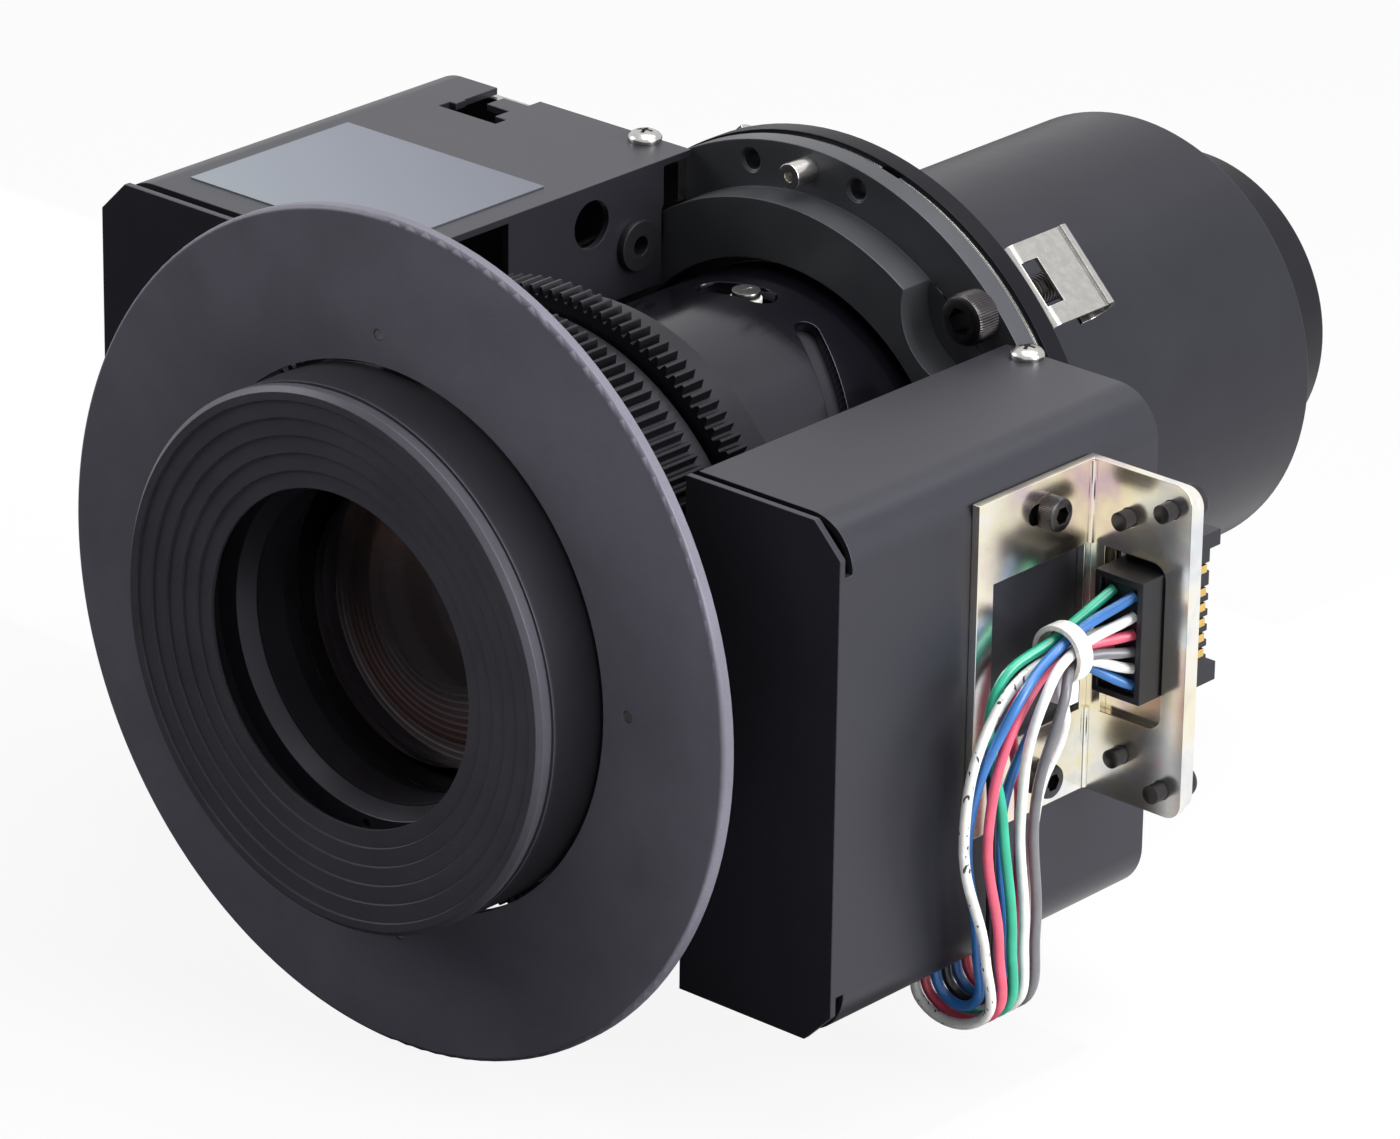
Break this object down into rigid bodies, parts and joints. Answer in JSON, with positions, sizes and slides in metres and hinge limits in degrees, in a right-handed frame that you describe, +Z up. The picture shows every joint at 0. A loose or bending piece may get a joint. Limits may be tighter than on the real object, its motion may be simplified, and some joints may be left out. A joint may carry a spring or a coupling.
{
  "type": "projection lens",
  "caption": "Motorised zoom projection lens with baffle disc, geared focus and zoom rings, mounting flange, covered drives and a blind-mate connector.",
  "frame": {"origin": "on the lens axis at the seating face of the back plate, centre of the four screws", "axes": "+Y along the lens axis to the rear, +Z up, +X to the right drive cover"},
  "size_m": [0.1755, 0.2111, 0.136],
  "materials": {
    "disc_paint": "satin dark grey",
    "dark_anodised": "dark anodised, satin",
    "black_anodised": "black anodised, satin",
    "gloss_black": "smooth glossy black",
    "black_powder": "fine black powder coat",
    "gear_plastic": "matt black moulded",
    "black_plastic": "black moulded",
    "cell_grey": "grey anodised",
    "steel": "turned steel",
    "bright_steel": "bright plated",
    "black_oxide": "black oxide",
    "brass": "machined",
    "gold": "gold plated",
    "zinc": "yellow passivated zinc",
    "nylon": "white moulded",
    "rubber": "black, soft",
    "label_silver": "silver grey film",
    "coated_glass": "multi-coated",
    "board": "green solder mask",
    "wire_pvc": "coloured insulation"
  },
  "bodies": {
    "lens_base": {"front_disc": "disc_paint", "disc_screws": "steel", "focus_keeper_ring": "steel", "guide_tube": "dark_anodised", "barrel_washers": "nylon", "mount_flange": "dark_anodised", "flange_shims": "bright_steel", "back_plate": "black_anodised", "flange_screws": "black_oxide", "locating_posts": "bright_steel", "stud_clips": "bright_steel", "barrel_screws": "black_oxide", "rear_barrel": "dark_anodised", "rear_ring": "gloss_black", "rear_lens": "coated_glass", "rear_retainer": "black_anodised", "right_cover": "black_powder", "left_cover": "black_powder", "cover_screws": "bright_steel", "label_plate": "label_silver", "wall_grommet": "rubber", "right_frame": "steel", "left_frame": "steel", "right_motor_plate": "steel", "left_motor_plate": "steel", "standoffs": "steel", "focus_motor": "steel", "focus_gearbox": "cell_grey", "zoom_motor": "steel", "zoom_gearbox": "cell_grey", "limit_switches": "black_plastic", "terminal_board": "board", "board_spacers": "steel", "board_socket": "nylon", "connector_bracket": "zinc", "connector_plate": "zinc", "bracket_screws": "black_oxide", "bracket_nut_plate": "steel", "connector_screws": "black_oxide", "wire_housing": "black_plastic", "drawer_connector": "black_plastic", "gold_contacts": "gold", "cable_tie": "nylon", "wire_harness": "wire_pvc"},
    "hood": {"hood_ring": "dark_anodised", "front_retainer": "dark_anodised", "front_cell": "cell_grey", "front_lens": "coated_glass", "inner_cell": "cell_grey", "inner_lens": "coated_glass", "focus_pins": "steel"},
    "focus_drive": {"focus_gear_ring": "gear_plastic"},
    "focus_shaft": {"focus_pinion": "brass"},
    "zoom_drive": {"cam_barrel": "gloss_black", "zoom_gear_ring": "gear_plastic"},
    "zoom_group": {"zoom_cell": "dark_anodised", "zoom_lens": "coated_glass", "cam_rollers": "nylon", "roller_screws": "steel"},
    "zoom_shaft": {"zoom_pinion": "brass"}
  },
  "joints": [
    {"name": "hood_slide", "type": "slide", "parent": "lens_base", "child": "hood", "axis": [0, 1, 0], "range_m": [-0.002, 0.002]},
    {"name": "focus_turn", "type": "hinge", "parent": "lens_base", "child": "focus_drive", "pos_m": [0, 0, 0], "axis": [0, 1, 0], "range_deg": [-45.2, 45.2]},
    {"name": "focus_shaft_turn", "type": "hinge", "parent": "lens_base", "child": "focus_shaft", "pos_m": [0.04966, 0, -0.00876], "axis": [0, 1, 0], "range_deg": [-392, 392]},
    {"name": "zoom_turn", "type": "hinge", "parent": "lens_base", "child": "zoom_drive", "pos_m": [0, 0, 0], "axis": [0, 1, 0], "range_deg": [-4, 9.5]},
    {"name": "zoom_slide", "type": "slide", "parent": "lens_base", "child": "zoom_group", "axis": [0, 1, 0], "range_m": [-0.00137, 0.00059]},
    {"name": "zoom_shaft_turn", "type": "hinge", "parent": "lens_base", "child": "zoom_shaft", "pos_m": [-0.0503, 0, 0.00887], "axis": [0, 1, 0], "range_deg": [-85, 37]}
  ],
  "couplings": [
    {"joint": "focus_turn", "follows": "hood_slide", "rad_per_m": 392.7},
    {"joint": "focus_shaft_turn", "follows": "hood_slide", "rad_per_m": -3411.6},
    {"joint": "zoom_slide", "follows": "zoom_turn", "m_per_rad": -0.0081851},
    {"joint": "zoom_shaft_turn", "follows": "zoom_turn", "ratio": -8.8125}
  ]
}
